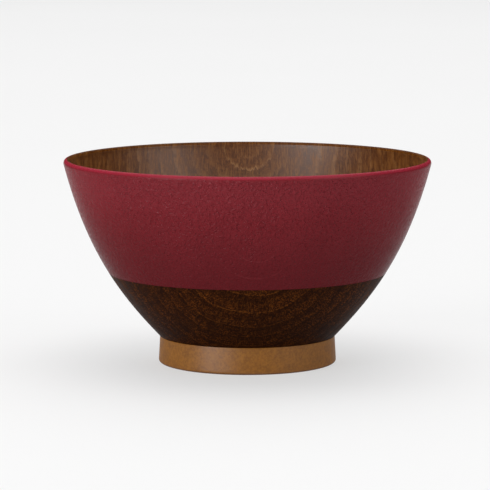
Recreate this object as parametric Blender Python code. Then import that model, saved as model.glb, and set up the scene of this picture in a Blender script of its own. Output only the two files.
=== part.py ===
"""Rice bowl with an attached foot ring.

A turned, wood-grained bowl body carries two colour skins on its outside, one
red and one dark brown, and stands on a separate foot ring.  The ring has a
tongue that rises into a groove under the body, where a ring of glue holds it.

Metres, +Z up.  The origin is the centre of the plane that the bowl stands on,
and every piece is turned about the Z axis.
"""

import math

import bmesh
import bpy

# ---------------------------------------------------------------- dimensions
HEIGHT = 0.0655  # table to the crest of the lip
RIM_R = 0.05875  # largest radius, just under the lip
RIM_Z = 0.0642  # height of the largest radius, where the lip's round begins
LIP_HALF = 0.0011  # half the lip's thickness
JOINT_Z = 0.0086  # where the bowl meets its foot
JOINT_R = 0.0282  # radius of the bowl there
COLOUR_Z = 0.0292  # the line between the red and the dark skin
SKIN = 0.0004  # thickness of a colour skin
GAP = 0.0003  # clearance between neighbouring pieces

FLOOR_Z = 0.0111  # inside, the middle of the bowl's floor
WALL_FOOT_Z = 0.0185  # inside, where the floor's round runs into the wall
WALL_LIP = 0.00213  # wall thickness at the lip
WALL_MID = 0.0029  # wall thickness from a quarter of the way down
WALL_LOW = 0.0032  # wall thickness at the foot

BASE_Z = 0.0075  # underside of the bowl, seen inside the foot ring
BOSS_R = 0.0233  # the round boss that centres the foot ring
GROOVE_IN_R = 0.0239
GROOVE_OUT_R = 0.0259
GROOVE_Z = 0.0110  # top of the groove

FOOT_R = 0.02852  # outer radius of the foot near the table
FOOT_TOP_R = 0.0281  # outer radius of the foot at the joint
FOOT_ROUND = 0.0008  # round on the foot's outer lower edge
FOOT_IN_R = 0.0249  # inner radius of the foot near the table
FOOT_IN_TOP_R = 0.0236  # inner radius of the foot at the joint
TONGUE_H = 0.00165

STEPS = 64  # facets round each piece

# The outside of the wall is one cubic curve in (radius, height), from the
# joint with the foot to the lip.
WALL_CURVE = (
    (JOINT_R, JOINT_Z),
    (0.0413, 0.0224),
    (0.0515, 0.0361),
    (RIM_R, RIM_Z),
)
LIP_MID_R = RIM_R - LIP_HALF
LIP_H = HEIGHT - RIM_Z


# ------------------------------------------------------------------ geometry
def cubic(curve, s):
    """A point on a cubic curve through its two ends and towards its handles."""
    a, b, c, d = (1 - s) ** 3, 3 * s * (1 - s) ** 2, 3 * s * s * (1 - s), s**3
    return tuple(
        a * p + b * q + c * r + d * t for p, q, r, t in zip(*curve, strict=True)
    )


def slope(s):
    """How fast the outside of the wall widens with height."""
    (r0, z0), (r1, z1) = cubic(WALL_CURVE, s - 1e-4), cubic(WALL_CURVE, s + 1e-4)
    return (r1 - r0) / (z1 - z0)


def inside(s, depth):
    """The point at that depth under the outside of the wall, at the same height."""
    r, z = cubic(WALL_CURVE, s)
    return (r - depth * math.hypot(1, slope(s)), z)


def wall_at(z):
    """The wall curve's parameter at a height."""
    low, high = 0.0, 1.0
    for _ in range(60):
        mid = (low + high) / 2
        if cubic(WALL_CURVE, mid)[1] < z:
            low = mid
        else:
            high = mid
    return (low + high) / 2


def thickness(s):
    """Wall thickness, thin at the lip and fuller towards the foot."""
    if s > 0.75:
        k = (1 - s) / 0.25
        k = k * k * (3 - 2 * k)
        return WALL_LIP + (WALL_MID - WALL_LIP) * k
    return WALL_MID + (WALL_LOW - WALL_MID) * (0.75 - s) / 0.75


def between(a, b, count):
    """count + 1 evenly spaced numbers from a to b."""
    return [a + (b - a) * i / count for i in range(count + 1)]


def lip_arc(depth, start, end, count):
    """Points round the lip, that deep under its surface. 0 degrees is outward, 90 the crest and 180 inward."""
    half = LIP_HALF - depth * math.hypot(1, slope(1.0))
    height = LIP_H - depth
    return [
        (
            LIP_MID_R + half * math.cos(math.radians(a)),
            RIM_Z + height * math.sin(math.radians(a)),
        )
        for a in between(start, end, count)
    ]


def turned(name, profile, colour, roughness, closed=True):
    """A solid of revolution of a profile of (radius, height) points. An open profile starts and ends on the axis."""
    mesh = bpy.data.meshes.new(name)
    bm = bmesh.new()
    points = [bm.verts.new((r, 0.0, z)) for r, z in profile]
    edges = [bm.edges.new(pair) for pair in zip(points, points[1:])]
    if closed:
        edges.append(bm.edges.new((points[-1], points[0])))
    bmesh.ops.spin(
        bm,
        geom=points + edges,
        cent=(0.0, 0.0, 0.0),
        axis=(0.0, 0.0, 1.0),
        dvec=(0.0, 0.0, 0.0),
        angle=2 * math.pi,
        steps=STEPS,
        use_merge=True,
        use_duplicate=False,
    )
    bmesh.ops.remove_doubles(bm, verts=bm.verts, dist=1e-6)
    bmesh.ops.recalc_face_normals(bm, faces=bm.faces)
    bm.to_mesh(mesh)
    bm.free()
    mesh.shade_smooth()
    mesh.set_sharp_from_angle(angle=math.radians(35))
    material = bpy.data.materials.new(name)
    material.use_nodes = True
    shader = material.node_tree.nodes["Principled BSDF"]
    shader.inputs["Base Color"].default_value = (*colour, 1.0)
    shader.inputs["Roughness"].default_value = roughness
    shader.inputs["Metallic"].default_value = 0.0
    mesh.materials.append(material)
    made = bpy.data.objects.new(name, mesh)
    bpy.context.scene.collection.objects.link(made)
    made.parent = bowl
    return made


# --------------------------------------------------------------------- scene
for old in list(bpy.data.objects):
    bpy.data.objects.remove(old)

bowl = bpy.data.objects.new("rice_bowl", None)
bpy.context.scene.collection.objects.link(bowl)

# ---------------------------------------------------------------- bowl body
# The floor runs from the axis into the wall, then the wall climbs to the lip.
s_foot = wall_at(WALL_FOOT_Z)
wall_start = inside(s_foot, thickness(s_foot))
wall_next = inside(s_foot + 0.02, thickness(s_foot + 0.02))
run = math.hypot(wall_next[0] - wall_start[0], wall_next[1] - wall_start[1])
lead = 0.0060 / run
floor_curve = (
    (0.0, FLOOR_Z),
    (0.0170, FLOOR_Z),
    (
        wall_start[0] - lead * (wall_next[0] - wall_start[0]),
        wall_start[1] - lead * (wall_next[1] - wall_start[1]),
    ),
    wall_start,
)
floor_line = [cubic(floor_curve, s) for s in between(0.0, 1.0, 8)]
wall_line = [inside(s, thickness(s)) for s in between(s_foot, 1.0, 11)]
# The inner half of the lip is the body's own, up to a small step for the red skin.
lip_line = lip_arc(0.0, 180, 90, 4)[1:-1] + [(LIP_MID_R - GAP, HEIGHT)]
under_lip = [(LIP_MID_R - GAP, HEIGHT - SKIN - GAP)] + lip_arc(SKIN + GAP, 90, 0, 2)
under_skin = [inside(s, SKIN + GAP) for s in between(1.0, wall_at(JOINT_Z + GAP / 2), 11)]
under_body = [
    (GROOVE_OUT_R, JOINT_Z + GAP / 2),
    (GROOVE_OUT_R, GROOVE_Z),
    (GROOVE_IN_R, GROOVE_Z),
    (GROOVE_IN_R, JOINT_Z + GAP / 2),
    (BOSS_R, JOINT_Z + GAP / 2),
    (BOSS_R, BASE_Z + 0.0004),
    (BOSS_R - 0.0004, BASE_Z),
    (0.0, BASE_Z),
]
turned(
    "bowl_body",
    floor_line + wall_line[1:] + lip_line + under_lip + under_skin[1:] + under_body,
    (0.165, 0.078, 0.030),
    0.42,
    closed=False,
)

# ------------------------------------------------------- skins on the outside
# Red: over the outer half of the lip and down to the colour line.
red_low = wall_at(COLOUR_Z + GAP / 2)
red_out = [cubic(WALL_CURVE, s) for s in between(red_low, 1.0, 7)]
red_in = [inside(s, SKIN) for s in between(1.0, red_low, 7)]
turned(
    "red_colour_skin",
    red_out + lip_arc(0.0, 0, 90, 3)[1:] + lip_arc(SKIN, 90, 0, 2)[:-1] + red_in,
    (0.235, 0.022, 0.028),
    0.50,
)

# Dark brown: from the colour line down to the foot.
dark_high, dark_low = wall_at(COLOUR_Z - GAP / 2), wall_at(JOINT_Z + GAP / 2)
dark_out = [cubic(WALL_CURVE, s) for s in between(dark_low, dark_high, 4)]
dark_in = [inside(s, SKIN) for s in between(dark_high, dark_low, 4)]
turned("dark_brown_skin", dark_out + dark_in, (0.040, 0.015, 0.006), 0.48)

# ------------------------------------------------------------------ foot ring
top = JOINT_Z - GAP / 2
foot_round = [
    (
        FOOT_R - FOOT_ROUND + FOOT_ROUND * math.sin(math.radians(a)),
        FOOT_ROUND - FOOT_ROUND * math.cos(math.radians(a)),
    )
    for a in between(0, 90, 3)
]
tongue_in, tongue_out = GROOVE_IN_R + GAP, GROOVE_OUT_R - GAP
turned(
    "foot_ring",
    foot_round
    + [
        (FOOT_TOP_R, top),
        (tongue_out, top),
        (tongue_out, top + TONGUE_H),
        (tongue_in, top + TONGUE_H),
        (tongue_in, top),
        (FOOT_IN_TOP_R, top),
        (FOOT_IN_R, 0.0006),
        (FOOT_IN_R + 0.0002, 0.0002),
        (FOOT_IN_R + 0.0006, 0.0),
    ],
    (0.245, 0.115, 0.036),
    0.40,
)

# ------------------------------------------------------------- ring of glue
# It lies between the top of the tongue and the top of the groove.
glue_low, glue_high = top + TONGUE_H + GAP, GROOVE_Z - GAP
turned(
    "foot_glue_ring",
    [
        (tongue_out, glue_low),
        (tongue_out, glue_high),
        (tongue_in, glue_high),
        (tongue_in, glue_low),
    ],
    (0.42, 0.30, 0.16),
    0.35,
)
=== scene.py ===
"""The looks of the rice bowl: turned, wood-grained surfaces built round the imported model, in a soft studio."""

import math

import bpy
import numpy as np
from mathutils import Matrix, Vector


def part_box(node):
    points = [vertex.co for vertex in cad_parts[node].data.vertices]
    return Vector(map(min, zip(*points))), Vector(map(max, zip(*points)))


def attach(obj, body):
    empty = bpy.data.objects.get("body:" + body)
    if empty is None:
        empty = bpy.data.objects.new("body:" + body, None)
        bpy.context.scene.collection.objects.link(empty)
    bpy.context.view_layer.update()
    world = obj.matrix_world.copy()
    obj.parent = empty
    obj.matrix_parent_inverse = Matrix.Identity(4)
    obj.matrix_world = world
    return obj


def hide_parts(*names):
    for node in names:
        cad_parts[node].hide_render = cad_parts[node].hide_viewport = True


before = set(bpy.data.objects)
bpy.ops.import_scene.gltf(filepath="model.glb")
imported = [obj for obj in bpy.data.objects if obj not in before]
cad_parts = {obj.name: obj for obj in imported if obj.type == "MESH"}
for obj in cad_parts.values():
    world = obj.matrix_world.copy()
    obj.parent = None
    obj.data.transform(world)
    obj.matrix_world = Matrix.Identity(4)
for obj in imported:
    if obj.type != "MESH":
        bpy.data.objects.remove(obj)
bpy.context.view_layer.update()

MM = 0.001

# ---------------------------------------------------------------- dimensions
# The same turned profile as the CAD part, in metres.
HEIGHT = 0.0655
RIM_R = 0.05875
RIM_Z = 0.0642
LIP_HALF = 0.0011
JOINT_Z = 0.0086
JOINT_R = 0.0282
COLOUR_Z = 0.0292
SKIN = 0.0004

FLOOR_Z = 0.0111
WALL_FOOT_Z = 0.0185
WALL_LIP = 0.00213
WALL_MID = 0.0029
WALL_LOW = 0.0032

BASE_Z = 0.0075
BOSS_R = 0.0233
GROOVE_IN_R = 0.0239
GROOVE_OUT_R = 0.0259
GROOVE_Z = 0.0110

FOOT_R = 0.02852
FOOT_TOP_R = 0.0281
FOOT_ROUND = 0.0008
FOOT_IN_R = 0.0249
FOOT_IN_TOP_R = 0.0236
TONGUE_H = 0.00165

WALL_CURVE = (
    (JOINT_R, JOINT_Z),
    (0.0413, 0.0224),
    (0.0515, 0.0361),
    (RIM_R, RIM_Z),
)
LIP_MID_R = RIM_R - LIP_HALF
LIP_H = HEIGHT - RIM_Z

for node, top in (("bowl_body", HEIGHT), ("red_colour_skin", HEIGHT)):
    if abs(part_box(node)[1].z - top) > 0.0003:
        raise ValueError(f"{node} is not the height that this script was written for")


# ------------------------------------------------------------------- profile
def cubic(curve, s):
    """A point on a cubic curve through its two ends and towards its handles."""
    a, b, c, d = (1 - s) ** 3, 3 * s * (1 - s) ** 2, 3 * s * s * (1 - s), s**3
    return tuple(
        a * p + b * q + c * r + d * t for p, q, r, t in zip(*curve, strict=True)
    )


def slope(s):
    """How fast the outside of the wall widens with height."""
    (r0, z0), (r1, z1) = cubic(WALL_CURVE, s - 1e-4), cubic(WALL_CURVE, s + 1e-4)
    return (r1 - r0) / (z1 - z0)


def inside(s, depth):
    """The point at that depth under the outside of the wall, at the same height."""
    r, z = cubic(WALL_CURVE, s)
    return (r - depth * math.hypot(1, slope(s)), z)


def wall_at(z):
    """The wall curve's parameter at a height."""
    low, high = 0.0, 1.0
    for _ in range(60):
        mid = (low + high) / 2
        if cubic(WALL_CURVE, mid)[1] < z:
            low = mid
        else:
            high = mid
    return (low + high) / 2


def thickness(s):
    """Wall thickness, thin at the lip and fuller towards the foot."""
    if s > 0.75:
        k = (1 - s) / 0.25
        k = k * k * (3 - 2 * k)
        return WALL_LIP + (WALL_MID - WALL_LIP) * k
    return WALL_MID + (WALL_LOW - WALL_MID) * (0.75 - s) / 0.75


def between(a, b, count):
    """count + 1 evenly spaced numbers from a to b."""
    return [a + (b - a) * i / count for i in range(count + 1)]


def lip_arc(depth, start, end, count):
    """Points round the lip, that deep under its surface. 0 degrees is outward, 90 the crest and 180 inward."""
    half = LIP_HALF - depth * math.hypot(1, slope(1.0))
    height = LIP_H - depth
    return [
        (
            LIP_MID_R + half * math.cos(math.radians(a)),
            RIM_Z + height * math.sin(math.radians(a)),
        )
        for a in between(start, end, count)
    ]


def rounded(corner, before, after, radius, count=4):
    """Points that round a profile's corner between its two neighbours."""
    c, b, a = np.array(corner), np.array(before), np.array(after)
    p = c + (b - c) / np.linalg.norm(b - c) * radius
    q = c + (a - c) / np.linalg.norm(a - c) * radius
    return [
        tuple((1 - t) ** 2 * p + 2 * t * (1 - t) * c + t * t * q)
        for t in between(0.0, 1.0, count)
    ]


# --------------------------------------------------------------------- noise
class Noise:
    """Smooth noise in about -1 to 1, from a seeded lattice of slopes."""

    def __init__(self, seed):
        made = np.random.default_rng(seed)
        self.order = made.permutation(256)
        slopes = made.normal(size=(256, 3))
        self.slopes = slopes / np.linalg.norm(slopes, axis=1)[:, None]

    def __call__(self, points):
        cell = np.floor(points).astype(np.int64)
        f = points - cell
        u = f * f * f * (f * (f * 6 - 15) + 10)
        total = np.zeros(len(points))
        for dx in (0, 1):
            for dy in (0, 1):
                for dz in (0, 1):
                    h = self.order[(cell[:, 0] + dx) & 255]
                    h = self.order[(h + cell[:, 1] + dy) & 255]
                    h = self.order[(h + cell[:, 2] + dz) & 255]
                    weight = (
                        (u[:, 0] if dx else 1 - u[:, 0])
                        * (u[:, 1] if dy else 1 - u[:, 1])
                        * (u[:, 2] if dz else 1 - u[:, 2])
                    )
                    total += weight * (self.slopes[h] * (f - (dx, dy, dz))).sum(1)
        return total * 1.7


def smooth(low, high, x):
    t = np.clip((x - low) / (high - low), 0.0, 1.0)
    return t * t * (3 - 2 * t)


# --------------------------------------------------------------------- grain
# The block that the bowl is turned from lies on its side: its length runs along
# Y, so the front and the back of the bowl show end grain, growth rings that hang
# from the pith in U shapes, and its two sides show long grain. All in mm.
PITH_RISE = 0.126  # the pith climbs towards the back
RINGS = (
    0.0, 4.5, 8.9, 14.0, 19.2, 25.1, 30.4, 34.1, 37.8, 41.0, 44.2,
    47.6, 51.2, 54.6, 58.3, 61.9, 65.6, 69.5, 73.4, 77.3, 81.0,
)
wander_wide, wander_fine, wander_side = Noise(11), Noise(12), Noise(13)


def grain(points):
    """Across and up from the pith, in mm, and the growth ring each point is in, counted from the pith."""
    x, y, z = (points / MM).T
    back = np.clip((y + 53.0) / 107.0, 0.0, 1.0)
    pith_x = (1 - back) * (0.6 + 0.087 * (z - 11.5))
    pith_z = 50.0 + PITH_RISE * (y + 53.0)
    squeeze = 0.75 + 0.49 * back
    across, up = x - pith_x, squeeze * (z - pith_z)
    slow = np.stack([x, y * 0.25, z], 1)
    across = across + 0.8 * wander_wide(slow / 19.0) + 0.22 * wander_fine(slow / 4.1)
    up = up + 0.8 * wander_side(slow / 17.0) + 0.22 * wander_fine(slow / 3.7 + 40.0)
    ring = np.interp(np.hypot(across, up), RINGS, np.arange(len(RINGS)))
    return across, up, ring


# ------------------------------------------------------------------ geometry
def turned(name, profile, steps, relief=None, closed=True):
    """A solid of revolution. relief(points) is how deep the surface lies under the turned one, in metres. An open profile starts and ends on the axis."""
    line = np.array(profile, float)
    ahead = np.roll(line, -1, 0) if closed else np.vstack([line[1:], line[-1:]])
    behind = np.roll(line, 1, 0) if closed else np.vstack([line[:1], line[:-1]])
    along = ahead - behind
    along /= np.maximum(np.linalg.norm(along, axis=1), 1e-12)[:, None]
    r0, z0 = line.T
    r1, z1 = np.roll(line, -1, 0).T
    sense = 1.0 if (r0 * z1 - r1 * z0).sum() > 0 else -1.0
    out = np.stack([along[:, 1], -along[:, 0]], 1) * sense
    angle = np.arange(steps) * 2 * math.pi / steps
    first, last = (0, len(line)) if closed else (1, len(line) - 1)
    rings = []
    for (r, z), (nr, nz) in zip(line[first:last], out[first:last]):
        ring = np.stack([r * np.cos(angle), r * np.sin(angle), np.full(steps, z)], 1)
        side = np.stack([nr * np.cos(angle), nr * np.sin(angle), np.full(steps, nz)], 1)
        rings.append((ring, side))
    points = np.vstack([p for p, _ in rings])
    sides = np.vstack([n for _, n in rings])
    if relief is not None:
        points = points - sides * relief(points)[:, None]
    count = len(rings)
    base = np.arange(steps)
    turn = (base + 1) % steps
    pairs = [(i, i + 1) for i in range(count - 1)] + ([(count - 1, 0)] if closed else [])
    quads = np.vstack(
        [
            np.stack([i * steps + base, j * steps + base, j * steps + turn, i * steps + turn], 1)
            for i, j in pairs
        ]
    )
    faces = [quads]
    if not closed:
        low, high = len(points), len(points) + 1
        points = np.vstack([points, [(0, 0, line[0, 1]), (0, 0, line[-1, 1])]])
        rim = (count - 1) * steps
        faces.append(np.stack([turn, base, np.full(steps, low)], 1))
        faces.append(np.stack([rim + base, rim + turn, np.full(steps, high)], 1))
    if sense > 0:
        faces = [f[:, ::-1] for f in faces]
    mesh = bpy.data.meshes.new(name)
    corners = np.concatenate([f.ravel() for f in faces])
    sizes = np.concatenate([np.full(len(f), f.shape[1]) for f in faces])
    mesh.vertices.add(len(points))
    mesh.vertices.foreach_set("co", points.astype(np.float32).ravel())
    mesh.loops.add(len(corners))
    mesh.loops.foreach_set("vertex_index", corners.astype(np.int32))
    mesh.polygons.add(len(sizes))
    starts = np.concatenate([[0], np.cumsum(sizes)[:-1]])
    mesh.polygons.foreach_set("loop_start", starts.astype(np.int32))
    mesh.update(calc_edges=True)
    mesh.validate()
    mesh.shade_smooth()
    mesh.set_sharp_from_angle(angle=math.radians(38))
    across, up, ring = grain(points)
    told = mesh.attributes.new("grain", "FLOAT_VECTOR", "POINT")
    told.data.foreach_set("vector", np.stack([across, up, ring], 1).astype(np.float32).ravel())
    made = bpy.data.objects.new(name, mesh)
    bpy.context.scene.collection.objects.link(made)
    return made


def volume(o):
    """The signed volume of a mesh, to see that it faces outwards."""
    mesh = o.data
    mesh.calc_loop_triangles()
    co = np.zeros(len(mesh.vertices) * 3)
    mesh.vertices.foreach_get("co", co)
    co = co.reshape(-1, 3)
    tri = np.zeros(len(mesh.loop_triangles) * 3, np.int32)
    mesh.loop_triangles.foreach_get("vertices", tri)
    a, b, c = (co[tri.reshape(-1, 3)[:, k]] for k in range(3))
    return float((a * np.cross(b, c)).sum() / 6)


# ------------------------------------------------------------------- nodes
class Graph:
    """A short way to write a material's nodes."""

    def __init__(self, name):
        self.material = bpy.data.materials.new(name)
        self.material.use_nodes = True
        self.tree = self.material.node_tree
        self.shader = self.tree.nodes["Principled BSDF"]
        self.place = 0

    def node(self, kind, **values):
        made = self.tree.nodes.new("ShaderNode" + kind)
        self.place += 1
        made.location = (-220 * (1 + self.place % 9), -260 * (self.place // 9))
        for key, value in values.items():
            setattr(made, key, value)
        return made

    def put(self, socket, value):
        if isinstance(value, bpy.types.NodeSocket):
            self.tree.links.new(value, socket)
        elif isinstance(value, tuple) and len(value) == 3 and socket.type == "RGBA":
            socket.default_value = (*value, 1.0)
        else:
            socket.default_value = value

    def set(self, **values):
        for key, value in values.items():
            self.put(self.shader.inputs[key.replace("_", " ")], value)

    def math(self, operation, a, b=None, c=None, clamp=False):
        made = self.node("Math", operation=operation, use_clamp=clamp)
        for i, value in enumerate((a, b, c)):
            if value is not None:
                self.put(made.inputs[i], value)
        return made.outputs[0]

    def smooth(self, value, low, high, to_low=0.0, to_high=1.0):
        made = self.node("MapRange", interpolation_type="SMOOTHSTEP")
        for key, v in (
            ("Value", value), ("From Min", low), ("From Max", high),
            ("To Min", to_low), ("To Max", to_high),
        ):
            self.put(made.inputs[key], v)
        return made.outputs["Result"]

    def noise(self, at, scale, detail=2.0, roughness=0.5, distortion=0.0, offset=None):
        if offset is not None:
            moved = self.node("VectorMath", operation="ADD")
            self.put(moved.inputs[0], at)
            moved.inputs[1].default_value = offset
            at = moved.outputs[0]
        made = self.node("TexNoise", noise_dimensions="3D")
        self.put(made.inputs["Vector"], at)
        self.put(made.inputs["Scale"], scale)
        self.put(made.inputs["Detail"], detail)
        self.put(made.inputs["Roughness"], roughness)
        self.put(made.inputs["Distortion"], distortion)
        return made.outputs["Fac"]

    def cells(self, at, scale, randomness=1.0):
        made = self.node("TexVoronoi", feature="F1", voronoi_dimensions="3D")
        self.put(made.inputs["Vector"], at)
        self.put(made.inputs["Scale"], scale)
        self.put(made.inputs["Randomness"], randomness)
        return made.outputs["Distance"]

    def mix(self, factor, a, b, blend="MIX"):
        made = self.node("Mix", data_type="RGBA", blend_type=blend, clamp_factor=True)
        self.put(made.inputs[0], factor)
        self.put(made.inputs[6], a)
        self.put(made.inputs[7], b)
        return made.outputs[2]

    def ramp(self, value, stops):
        made = self.node("ValToRGB")
        band = made.color_ramp
        band.interpolation = "EASE"
        while len(band.elements) < len(stops):
            band.elements.new(0.5)
        for element, (at, colour) in zip(band.elements, stops):
            element.position = at
            element.color = (*colour, 1.0)
        self.put(made.inputs["Fac"], value)
        return made.outputs["Color"]

    def steps(self, value, levels):
        """levels[i] where the value is from i to i + 1."""
        made = self.node("ValToRGB")
        band = made.color_ramp
        band.interpolation = "CONSTANT"
        while len(band.elements) < len(levels):
            band.elements.new(1.0)
        for i, level in enumerate(levels):
            band.elements[i].position = i / len(levels)
            band.elements[i].color = (level, level, level, 1.0)
        self.put(made.inputs["Fac"], self.math("DIVIDE", value, float(len(levels))))
        return made.outputs["Color"]

    def bump(self, height, depth, strength=1.0, normal=None):
        made = self.node("Bump")
        self.put(made.inputs["Height"], height)
        self.put(made.inputs["Distance"], depth)
        self.put(made.inputs["Strength"], strength)
        if normal is not None:
            self.put(made.inputs["Normal"], normal)
        return made.outputs["Normal"]

    def split(self, vector):
        made = self.node("SeparateXYZ")
        self.put(made.inputs[0], vector)
        return tuple(made.outputs)

    def vector(self, x, y, z):
        made = self.node("CombineXYZ")
        for i, v in enumerate((x, y, z)):
            self.put(made.inputs[i], v)
        return made.outputs[0]


def wood(g):
    """Places to read a wood pattern at, in mm, and where each point is in its growth ring.

    plain is the plain place, fibre runs along the block, rays runs out from the
    pith, rings runs round it and hang runs down the end grain. through is 0 to 1
    through the growth ring, ring counts the rings, under is 1 straight below the
    pith, end is 1 on the end grain and 0 on the sides, and height is how high the
    point is.
    """
    place = g.node("TexCoord").outputs["Object"]
    big = g.node("VectorMath", operation="SCALE")
    g.put(big.inputs[0], place)
    big.inputs["Scale"].default_value = 1000.0
    plain = big.outputs[0]
    x, y, z = g.split(plain)
    up = g.math("SUBTRACT", z, g.math("MULTIPLY", y, PITH_RISE))
    far = g.math("MULTIPLY", y, 0.07)
    fibre = g.vector(x, far, up)
    told = g.node("Attribute", attribute_type="GEOMETRY", attribute_name="grain")
    across, above, ring = g.split(told.outputs["Vector"])
    radius = g.math("SQRT", g.math("ADD", g.math("MULTIPLY", across, across), g.math("MULTIPLY", above, above)))
    radius = g.math("MAXIMUM", radius, 0.01)
    side, drop = g.math("DIVIDE", across, radius), g.math("DIVIDE", above, radius)

    def about(outward, round_pith):
        return g.vector(
            g.math("MULTIPLY", side, round_pith),
            g.math("MULTIPLY", drop, round_pith),
            g.math("ADD", g.math("MULTIPLY", radius, outward), far),
        )

    return {
        "plain": plain,
        "fibre": fibre,
        "rays": about(0.40, 36.0),
        "rings": about(1.25, 9.0),
        "hang": g.vector(x, far, g.math("MULTIPLY", up, 0.17)),
        "through": g.math("FRACT", ring),
        "ring": ring,
        "under": g.smooth(drop, -0.55, -0.97),
        "end": g.smooth(g.math("ABSOLUTE", g.math("DIVIDE", y, g.math("MAXIMUM", g.math("ABSOLUTE", x), 0.01))), 0.35, 1.3),
        "height": z,
    }


# ----------------------------------------------------------------- materials
# How clear each ring's outer line is, counted from the pith.
BODY_LINES = (0.3, 1.0, 0.35, 0.3, 0.8, 0.9, 0.6, 0.9, 0.9, 0.6, 0.6, 0.4, 0.7, 0.3, 0.6, 0.5, 0.4, 0.6, 0.3, 0.5)
DARK_LINES = (0.3, 0.4, 0.6, 0.75, 0.9, 0.7, 0.65, 0.45, 0.7, 0.45, 0.6, 0.5, 0.3, 0.5, 0.4, 0.3, 0.5, 0.3, 0.4, 0.3)
RED_LINES = (0.5, 1.0, 0.8, 0.4, 0.3, 0.3, 0.2, 0.3, 0.2, 0.3, 0.2, 0.3, 0.2, 0.3, 0.2, 0.3, 0.2, 0.3, 0.2, 0.3)


def body_material(name, level):
    """Brown wood with soft paler rings and fine streaks, under a satin clear coat. level is how strong the coat's shine is."""
    g = Graph(name)
    w = wood(g)
    ragged = g.noise(w["hang"], 1.1, 2.0, 0.6, offset=(1.0, 4.0, 6.0))
    ring = g.math("ADD", w["ring"], g.smooth(ragged, 0.25, 0.75, -0.16, 0.16))
    through = g.math("FRACT", ring)
    streak = g.noise(w["rings"], 1.15, 3.0, 0.62)
    wide = g.noise(w["rings"], 0.32, 2.0, 0.5, offset=(5.0, 1.0, 3.0))
    hang = g.noise(w["hang"], 2.1, 2.0, 0.65)
    speck = g.noise(w["fibre"], 1.35, 1.0, 0.5)
    blotch = g.noise(w["plain"], 0.07, 2.0, 0.5, offset=(3.0, 7.0, 1.0))
    base = g.ramp(through, (
        (0.00, (0.0989, 0.0275, 0.0024)),
        (0.35, (0.1035, 0.0292, 0.0026)),
        (0.80, (0.1357, 0.0410, 0.0039)),
        (1.00, (0.1127, 0.0328, 0.0030)),
    ))
    base = g.mix(g.smooth(blotch, 0.35, 0.68, 0.0, 0.40), base, (0.0851, 0.0222, 0.0019))
    base = g.mix(g.smooth(wide, 0.50, 0.66, 0.0, 0.40), base, (0.1667, 0.0538, 0.0060))
    base = g.mix(g.smooth(streak, 0.48, 0.68, 0.0, 0.35), base, (0.2127, 0.0725, 0.0086))
    base = g.mix(g.smooth(streak, 0.48, 0.32, 0.0, 0.35), base, (0.0575, 0.0140, 0.0013))
    base = g.mix(g.smooth(hang, 0.50, 0.64, 0.0, 0.50), base, (0.2400, 0.0900, 0.0130))
    base = g.mix(g.smooth(hang, 0.49, 0.35, 0.0, 0.52), base, (0.0620, 0.0165, 0.0014))
    base = g.mix(g.smooth(speck, 0.54, 0.70, 0.0, 0.25), base, (0.2185, 0.0772, 0.0097))
    broken = g.smooth(g.noise(w["fibre"], 0.8, 2.0, 0.6, offset=(9.0, 2.0, 5.0)), 0.34, 0.58, 0.25, 1.0)
    line = g.math("MULTIPLY", g.smooth(through, 0.66, 0.92), g.smooth(through, 1.0, 0.95))
    line = g.math("MULTIPLY", line, broken)
    line = g.math("MULTIPLY", line, g.steps(ring, BODY_LINES))
    line = g.math("MULTIPLY", line, g.math("ADD", g.math("MULTIPLY", w["under"], 0.45), 0.55))
    base = g.mix(g.math("MULTIPLY", line, 0.90), base, (0.2900, 0.1330, 0.0400))
    top = g.smooth(w["height"], 64.8, 65.2)
    base = g.mix(g.math("MULTIPLY", top, 0.55), base, (0.0500, 0.0130, 0.0017))
    g.set(Base_Color=base, Roughness=g.smooth(hang, 0.3, 0.7, 0.38, 0.48))
    height = g.math("SUBTRACT", g.math("MULTIPLY", hang, 0.6), g.math("MULTIPLY", line, 0.6))
    g.set(Normal=g.bump(height, 0.00005, 0.6), Specular_IOR_Level=level, Specular_Tint=(9.5, 9.5, 9.3))
    return g.material


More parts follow.
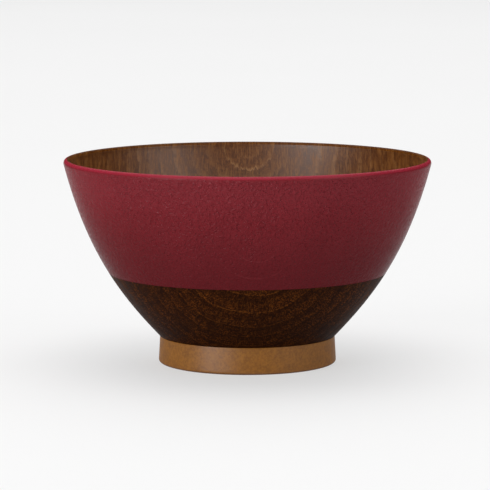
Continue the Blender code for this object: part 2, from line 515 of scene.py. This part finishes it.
def dark_material():
    """Dark brown wood, its pores and ring lines picked out in golden brown, with painted shade towards the foot."""
    g = Graph("coat_dark_brown")
    w = wood(g)
    through = w["through"]
    streak = g.noise(w["rings"], 1.0, 2.0, 0.6)
    thin = g.noise(w["rings"], 2.4, 1.0, 0.5, offset=(7.0, 2.0, 4.0))
    rays = g.noise(w["rays"], 1.25, 2.0, 0.6)
    speck = g.cells(w["fibre"], 1.75)
    grit = g.noise(w["fibre"], 2.3, 1.0, 0.5, offset=(2.0, 6.0, 3.0))
    some = g.noise(w["fibre"], 0.20, 2.0, 0.5, offset=(4.0, 8.0, 2.0))
    base = g.ramp(through, (
        (0.00, (0.0160, 0.0036, 0.0007)),
        (0.30, (0.0173, 0.0039, 0.0008)),
        (0.75, (0.0215, 0.0049, 0.0010)),
        (1.00, (0.0173, 0.0039, 0.0008)),
    ))
    base = g.mix(g.smooth(streak, 0.50, 0.70, 0.0, 0.5), base, (0.0380, 0.0110, 0.0018))
    base = g.mix(g.smooth(streak, 0.47, 0.33, 0.0, 0.5), base, (0.0080, 0.0020, 0.0006))
    base = g.mix(g.smooth(thin, 0.46, 0.34, 0.0, 0.6), base, (0.0070, 0.0018, 0.0005))
    late = g.smooth(through, 0.05, 0.80, 0.55, 1.0)
    # Painted shade: darker towards the foot, where the wall faces down towards the floor.
    deep = g.smooth(w["height"], 25.0, 13.0)
    ray = g.math("MULTIPLY", g.smooth(rays, 0.54, 0.66), g.math("MULTIPLY", late, g.math("ADD", g.math("MULTIPLY", w["under"], 0.7), 0.3)))
    base = g.mix(g.math("MULTIPLY", ray, 0.45), base, (0.0950, 0.0300, 0.0042))
    pores = g.math("MAXIMUM", g.smooth(speck, 0.42, 0.20), g.smooth(grit, 0.55, 0.66))
    pores = g.math("MULTIPLY", pores, g.smooth(some, 0.36, 0.60, 0.35, 1.0))
    pores = g.math("MULTIPLY", pores, g.smooth(streak, 0.36, 0.52, 0.35, 1.0))
    pores = g.math("MULTIPLY", pores, late)
    base = g.mix(g.math("MULTIPLY", pores, 0.72), base, (0.1290, 0.0345, 0.0040))
    broken = g.smooth(g.noise(w["fibre"], 1.3, 2.0, 0.6, offset=(9.0, 2.0, 5.0)), 0.42, 0.60, 0.08, 1.0)
    line = g.math("MULTIPLY", g.smooth(through, 0.90, 0.958), g.smooth(through, 1.0, 0.978))
    line = g.math("MULTIPLY", line, broken)
    line = g.math("MULTIPLY", line, g.steps(w["ring"], DARK_LINES))
    line = g.math("MULTIPLY", line, g.math("ADD", g.math("MULTIPLY", w["under"], 0.85), 0.15))
    base = g.mix(g.math("MULTIPLY", line, 0.62), base, (0.1500, 0.0440, 0.0055))
    # The painted shade towards the foot.
    base = g.mix(g.math("MULTIPLY", deep, 0.42), base, (0.0080, 0.0018, 0.0004))
    g.set(Base_Color=base, Roughness=g.smooth(streak, 0.3, 0.7, 0.40, 0.52))
    height = g.math("ADD", g.math("MULTIPLY", pores, -0.7), g.math("MULTIPLY", streak, 0.5))
    height = g.math("SUBTRACT", height, g.math("MULTIPLY", line, 0.7))
    g.set(Normal=g.bump(height, 0.00006, 0.7), Specular_IOR_Level=0.01, Specular_Tint=(2.6, 2.7, 2.8))
    return g.material


def red_material():
    """Matte crimson over fine grain, which shows through as a soft leathery relief, with a painted sheen towards the
    top, painted light on the lip and painted shade towards the bottom.
    """
    g = Graph("coat_red")
    w = wood(g)
    through = w["through"]
    cloud = g.noise(w["plain"], 0.06, 2.0, 0.5)
    leather = g.noise(w["plain"], 0.95, 1.0, 0.5, 0.6)
    pits = g.cells(w["fibre"], 1.0)
    streak = g.noise(w["rings"], 1.0, 3.0, 0.6)
    base = g.mix(g.smooth(cloud, 0.3, 0.7), (0.1520, 0.0102, 0.0150), (0.1670, 0.0116, 0.0170))
    base = g.mix(g.smooth(streak, 0.45, 0.70, 0.0, 0.25), base, (0.1850, 0.0170, 0.0225))
    base = g.mix(g.smooth(leather, 0.53, 0.68, 0.0, 0.14), base, (0.2150, 0.0260, 0.0330))
    base = g.mix(g.smooth(leather, 0.48, 0.33, 0.0, 0.10), base, (0.0900, 0.0046, 0.0080))
    # Painted sheen: paler pink towards the top, in place of the light that the shine catches there.
    high = g.smooth(w["height"], 50.0, 62.0)
    base = g.mix(g.math("MULTIPLY", high, 0.28), base, (0.2020, 0.0250, 0.0340))
    # Painted shade: darker towards the bottom, where the wall faces down towards the floor.
    low = g.smooth(w["height"], 61.0, 27.0)
    base = g.mix(g.math("MULTIPLY", low, 0.62), base, (0.0535, 0.0018, 0.0030))
    broken = g.smooth(g.noise(w["fibre"], 0.8, 2.0, 0.6, offset=(9.0, 2.0, 5.0)), 0.36, 0.60, 0.3, 1.0)
    line = g.math("MULTIPLY", g.smooth(through, 0.86, 0.95), g.smooth(through, 1.0, 0.97))
    line = g.math("MULTIPLY", g.math("MULTIPLY", line, broken), g.math("MULTIPLY", w["under"], g.steps(w["ring"], RED_LINES)))
    base = g.mix(g.math("MULTIPLY", line, 0.30), base, (0.2247, 0.0270, 0.0330))
    # Painted light: a brighter crimson band round the lip's rounded top, where overhead light falls.
    rim = g.smooth(w["height"], 64.5, 64.85)
    base = g.mix(g.math("MULTIPLY", rim, 0.85), base, (0.2700, 0.0170, 0.0330))
    g.set(Base_Color=base, Roughness=g.smooth(leather, 0.3, 0.7, 0.36, 0.20))
    height = g.math("ADD", g.math("MULTIPLY", leather, 1.0), g.math("MULTIPLY", streak, 0.25))
    height = g.math("ADD", height, g.math("MULTIPLY", g.smooth(pits, 0.10, 0.35), 0.12))
    height = g.math("ADD", height, g.math("MULTIPLY", line, 0.20))
    height = g.math("MULTIPLY", g.math("SUBTRACT", height, 0.7), g.math("ADD", g.math("MULTIPLY", w["end"], 0.84), 0.16))
    height = g.math("MULTIPLY", height, g.smooth(w["height"], 27.0, 56.0, 0.50, 1.0))
    height = g.math("MULTIPLY", height, g.smooth(w["height"], 64.6, 63.9, 0.1, 1.0))
    g.set(Normal=g.bump(height, 0.00090, 1.0), Specular_IOR_Level=0.01, Specular_Tint=(9.8, 10.2, 10.7))
    return g.material


def foot_material():
    """Smooth tan with a faint mottle, satin, darkened round its bottom by painted shade."""
    g = Graph("foot_tan")
    w = wood(g)
    mottle = g.noise(w["plain"], 0.45, 2.0, 0.5)
    fine = g.noise(w["plain"], 1.4, 2.0, 0.6)
    base = g.mix(g.smooth(mottle, 0.34, 0.66), (0.2080, 0.0745, 0.0040), (0.2500, 0.0915, 0.0056))
    base = g.mix(g.smooth(fine, 0.46, 0.68, 0.0, 0.50), base, (0.3150, 0.1290, 0.0110))
    base = g.mix(g.smooth(fine, 0.46, 0.32, 0.0, 0.50), base, (0.1600, 0.0500, 0.0024))
    # Painted shade round the foot's lowest millimetre, where it rounds under towards the floor.
    painted_foot_shade = g.smooth(w["height"], 0.85, 0.15)
    base = g.mix(g.math("MULTIPLY", painted_foot_shade, 0.75), base, (0.0480, 0.0120, 0.0010))
    g.set(Base_Color=base, Roughness=g.smooth(mottle, 0.3, 0.7, 0.34, 0.40), Specular_IOR_Level=0.01, Specular_Tint=(41.0, 43.0, 46.0))
    g.set(Normal=g.bump(mottle, 0.00002, 0.3))
    return g.material


def glue_material():
    """Cured amber glue, a little cloudy."""
    g = Graph("glue_amber")
    cloud = g.noise(wood(g)["plain"], 0.6, 3.0, 0.6)
    g.set(
        Base_Color=g.mix(g.smooth(cloud, 0.3, 0.7), (0.36, 0.24, 0.11), (0.50, 0.37, 0.20)),
        Roughness=g.smooth(cloud, 0.3, 0.7, 0.25, 0.42),
        Normal=g.bump(cloud, 0.00008, 0.6),
    )
    return g.material


# --------------------------------------------------------------------- relief
rough_a, rough_b, rough_c = Noise(21), Noise(22), Noise(23)


def ring_line(points):
    """1 on a ring's line, 0 away from it."""
    through = grain(points)[2] % 1.0
    return smooth(0.86, 0.94, through) * smooth(1.0, 0.96, through)


def fibres(points, width):
    """Noise that is drawn out along the block's length."""
    x, y, z = (points / MM).T
    return rough_a(np.stack([x, y * 0.07, z - PITH_RISE * y], 1) / width)


def fade(points):
    """No relief near the axis, where the turned rings are close together."""
    return smooth(0.001, 0.004, np.hypot(points[:, 0], points[:, 1]))


def body_relief(points):
    low = 0.5 + 0.5 * np.clip(fibres(points, 1.7), -1, 1)
    return fade(points) * (0.000010 * low + 0.000022 * ring_line(points))


def red_relief(points):
    p = points / MM
    leather = rough_b(p / 1.15) + 0.6 * rough_c(p / 2.6) + 0.5 * fibres(points, 1.6)
    return 0.000016 * np.clip(0.5 + 0.35 * leather, 0, 1.2) + 0.000012 * (1 - ring_line(points))


def dark_relief(points):
    low = 0.5 + 0.5 * np.clip(fibres(points, 1.2), -1, 1)
    return 0.000012 * low + 0.000020 * ring_line(points)


def foot_relief(points):
    p = points / MM
    return 0.000004 * np.clip(0.5 + 0.5 * rough_b(p / 4.5), 0, 1)


# ---------------------------------------------------------------- the pieces
HAIR = 0.00002  # between neighbouring surfaces, too fine to see

# The bowl's body: the inside from its middle to the lip, then back down under
# the skins, round the groove for the foot's tongue, and in across the underside.
s_foot = wall_at(WALL_FOOT_Z)
wall_start = inside(s_foot, thickness(s_foot))
wall_next = inside(s_foot + 0.02, thickness(s_foot + 0.02))
run = math.hypot(wall_next[0] - wall_start[0], wall_next[1] - wall_start[1])
lead = 0.0060 / run
floor_curve = (
    (0.0, FLOOR_Z),
    (0.0170, FLOOR_Z),
    (
        wall_start[0] - lead * (wall_next[0] - wall_start[0]),
        wall_start[1] - lead * (wall_next[1] - wall_start[1]),
    ),
    wall_start,
)
floor_line = [cubic(floor_curve, s) for s in between(0.0, 1.0, 34)]
wall_line = [inside(s, thickness(s)) for s in between(s_foot, 1.0, 74)]
lip_line = lip_arc(0.0, 180, 90, 12)[1:]
under_lip = [(LIP_MID_R + HAIR / 2, HEIGHT - SKIN - HAIR)] + lip_arc(SKIN + HAIR, 88, 0, 4)
under_skin = [inside(s, SKIN + HAIR) for s in between(1.0, wall_at(JOINT_Z + HAIR), 20)]
ledge = [
    *rounded((GROOVE_OUT_R, JOINT_Z + HAIR), under_skin[-1], (GROOVE_OUT_R, GROOVE_Z), 0.0002, 2),
    (GROOVE_OUT_R, GROOVE_Z),
    (GROOVE_IN_R, GROOVE_Z),
    (GROOVE_IN_R, JOINT_Z + HAIR),
    (BOSS_R, JOINT_Z + HAIR),
]
base_line = [
    *rounded((BOSS_R, BASE_Z), (BOSS_R, JOINT_Z), (0.0, BASE_Z), 0.0005, 5),
    *[(r, BASE_Z) for r in between(BOSS_R - 0.0011, 0.0, 26)],
]
body = turned(
    "v_bowl_body",
    floor_line + wall_line[1:] + lip_line + under_lip + under_skin[1:] + ledge + base_line,
    520,
    body_relief,
    closed=False,
)

# The red skin: the outside from the colour line to the lip's crest, and back inside.
red_outside = [cubic(WALL_CURVE, s) for s in between(wall_at(COLOUR_Z), 1.0, 88)]
red_top = lip_arc(0.0, 0, 90, 12)[1:]
red_inside = [(LIP_MID_R, HEIGHT - SKIN)] + lip_arc(SKIN, 88, 0, 4)
red_back = [inside(s, SKIN) for s in between(1.0, wall_at(COLOUR_Z), 20)][1:]
red = turned("v_red_colour_skin", red_outside + red_top + red_inside + red_back, 780, red_relief)

# The dark skin, from the joint with the foot to the colour line.
dark_outside = [cubic(WALL_CURVE, s) for s in between(0.0, wall_at(COLOUR_Z - HAIR), 66)]
dark_back = [inside(s, SKIN) for s in between(wall_at(COLOUR_Z - HAIR), 0.0, 16)]
dark = turned("v_dark_brown_skin", dark_outside + dark_back, 720, dark_relief)

# The foot ring, up its outside, over its tongue and down its inside.
top_z = JOINT_Z - HAIR
tongue_z = JOINT_Z + TONGUE_H
tongue_in, tongue_out = GROOVE_IN_R + 0.0003, GROOVE_OUT_R - 0.0003
foot_in_low = (FOOT_IN_R, 0.0006)
foot_profile = [
    *[(FOOT_IN_R + 0.0006 + (FOOT_R - FOOT_ROUND - FOOT_IN_R - 0.0006) * t, 0.0) for t in between(0, 1, 6)],
    *[
        (
            FOOT_R - FOOT_ROUND + FOOT_ROUND * math.sin(math.radians(a)),
            FOOT_ROUND - FOOT_ROUND * math.cos(math.radians(a)),
        )
        for a in between(0, 90, 8)
    ][1:],
    *[(FOOT_R + (FOOT_TOP_R - FOOT_R) * t, FOOT_ROUND + (top_z - 0.00012 - FOOT_ROUND) * t) for t in between(0, 1, 24)][1:],
    *rounded((FOOT_TOP_R, top_z), (FOOT_TOP_R, 0.0), (tongue_out, top_z), 0.00010, 3)[1:],
    (tongue_out, top_z),
    (tongue_out, tongue_z),
    (tongue_in, tongue_z),
    (tongue_in, top_z),
    (FOOT_IN_TOP_R, top_z),
    *[
        (FOOT_IN_TOP_R + (FOOT_IN_R - FOOT_IN_TOP_R) * t, top_z + (0.0006 - top_z) * t)
        for t in between(0, 1, 18)
    ][1:],
    *rounded((FOOT_IN_R, 0.0), foot_in_low, (FOOT_R, 0.0), 0.00059, 5)[1:-1],
]
foot = turned("v_foot_ring", foot_profile, 540, foot_relief)

for piece in (body, red, dark, foot):
    print(piece.name, len(piece.data.polygons), "faces,", round(volume(piece) * 1e6, 2), "ml")
    if volume(piece) <= 0:
        raise ValueError(f"{piece.name} is inside out")

for piece, node, slot, material in (
    (body, "bowl_body", "bowl_brown", body_material("bowl_brown", 0.07)),
    (red, "red_colour_skin", "coat_red", red_material()),
    (dark, "dark_brown_skin", "coat_dark_brown", dark_material()),
    (foot, "foot_ring", "foot_tan", foot_material()),
):
    piece.data.materials.append(material)
    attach(piece, "root")
    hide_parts(node)

# The inner half of the lip, where the clear coat is thin.
body.data.materials.append(body_material("bowl_brown_lip", 0.01))
for face in body.data.polygons:
    if face.center.z > RIM_Z + 0.0005:
        face.material_index = 1

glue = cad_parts["foot_glue_ring"]
glue_look = glue_material()
for i in range(len(glue.material_slots)):
    glue.material_slots[i].material = glue_look


# --------------------------------------------------------------- the studio
def floor_material():
    """Pale acrylic with a little light behind it, which keeps the shadows faint."""
    g = Graph("floor_paper")
    place = g.node("TexCoord").outputs["Object"]
    faint = g.noise(place, 3.0, 2.0, 0.5)
    pale = g.mix(faint, (0.276, 0.276, 0.276), (0.284, 0.284, 0.284))
    g.set(
        Base_Color=pale,
        Roughness=g.smooth(faint, 0.3, 0.7, 0.85, 0.9),
        Specular_IOR_Level=0.2,
        Emission_Color=(1.0, 1.0, 1.0),
        Emission_Strength=g.smooth(faint, 0.2, 0.8, 0.548, 0.553),
    )
    return g.material


floor_mesh = bpy.data.meshes.new("floor")
floor_mesh.from_pydata([(-9, -5, 0), (9, -5, 0), (9, 13, 0), (-9, 13, 0)], [], [(0, 1, 2, 3)])
floor = bpy.data.objects.new("floor", floor_mesh)
bpy.context.scene.collection.objects.link(floor)
floor.data.materials.append(floor_material())


def softbox(name, place, aim, width, height, radiance):
    """A soft panel at a place, facing a point."""
    light = bpy.data.lights.new(name, "AREA")
    light.shape = "RECTANGLE"
    light.size, light.size_y = width, height
    light.energy = radiance * math.pi * width * height
    made = bpy.data.objects.new(name, light)
    x, y, z = (a - b for a, b in zip(place, aim, strict=True))
    made.location = place
    made.rotation_euler = (math.atan2(math.hypot(x, y), z), 0.0, math.atan2(x, -y))
    made.visible_camera = False
    bpy.context.scene.collection.objects.link(made)


# Upright panels round the bowl. Azimuth 0 is the camera's side and positive is to
# its right. The three numbers are how bright each panel's low, middle and high part is.
ROWS = ((0.01, 0.30), (0.30, 0.65), (0.65, 1.15))
WALL = 1.1
for azimuth, parts in (
    (-50, (8.2, 3.5, 2.4)),
    (-30, (4.6, 1.3, 0.5)),
    (50, (0.5, 2.0, 1.7)),
    (70, (0.0, 2.2, 1.1)),
):
    a = math.radians(azimuth)
    for (low, high), radiance in zip(ROWS, parts, strict=True):
        if radiance > 0:
            softbox(
                f"side_box_{azimuth}_{int(low * 100)}",
                (math.sin(a) * WALL, -math.cos(a) * WALL, (low + high) / 2),
                (0.0, 0.0, 0.035),
                2 * WALL * math.tan(math.radians(10)),
                high - low,
                radiance,
            )
softbox("top_box", (0.0, 0.0, 1.3), (0.0, 0.0, 0.035), 0.8, 0.8, 1.4)
softbox("top_front_box", (0.0, -0.8, 1.3), (0.0, 0.0, 0.035), 0.8, 0.8, 1.1)
softbox("ceiling_box", (0.0, 1.75, 2.0), (0.0, 1.75, 0.0), 3.2, 4.5, 2.2)

world = bpy.data.worlds.new("studio")
world.use_nodes = True
bpy.context.scene.world = world
world.node_tree.nodes["Background"].inputs["Color"].default_value = (1.0, 1.0, 1.0, 1.0)
world.node_tree.nodes["Background"].inputs["Strength"].default_value = 0.03

camera_data = bpy.data.cameras.new("camera")
camera_data.sensor_width = 36.0
camera_data.lens = 217.72
camera_data.shift_x = -0.00488
camera_data.shift_y = 0.03161
camera_data.clip_end = 60.0
camera = bpy.data.objects.new("camera", camera_data)
camera.location = (0.0, -0.94310, 0.15781)
camera.rotation_euler = (math.radians(90.0 - 7.568), 0.0, 0.0)
bpy.context.scene.collection.objects.link(camera)
bpy.context.scene.camera = camera

bpy.context.scene.view_settings.view_transform = "Standard"
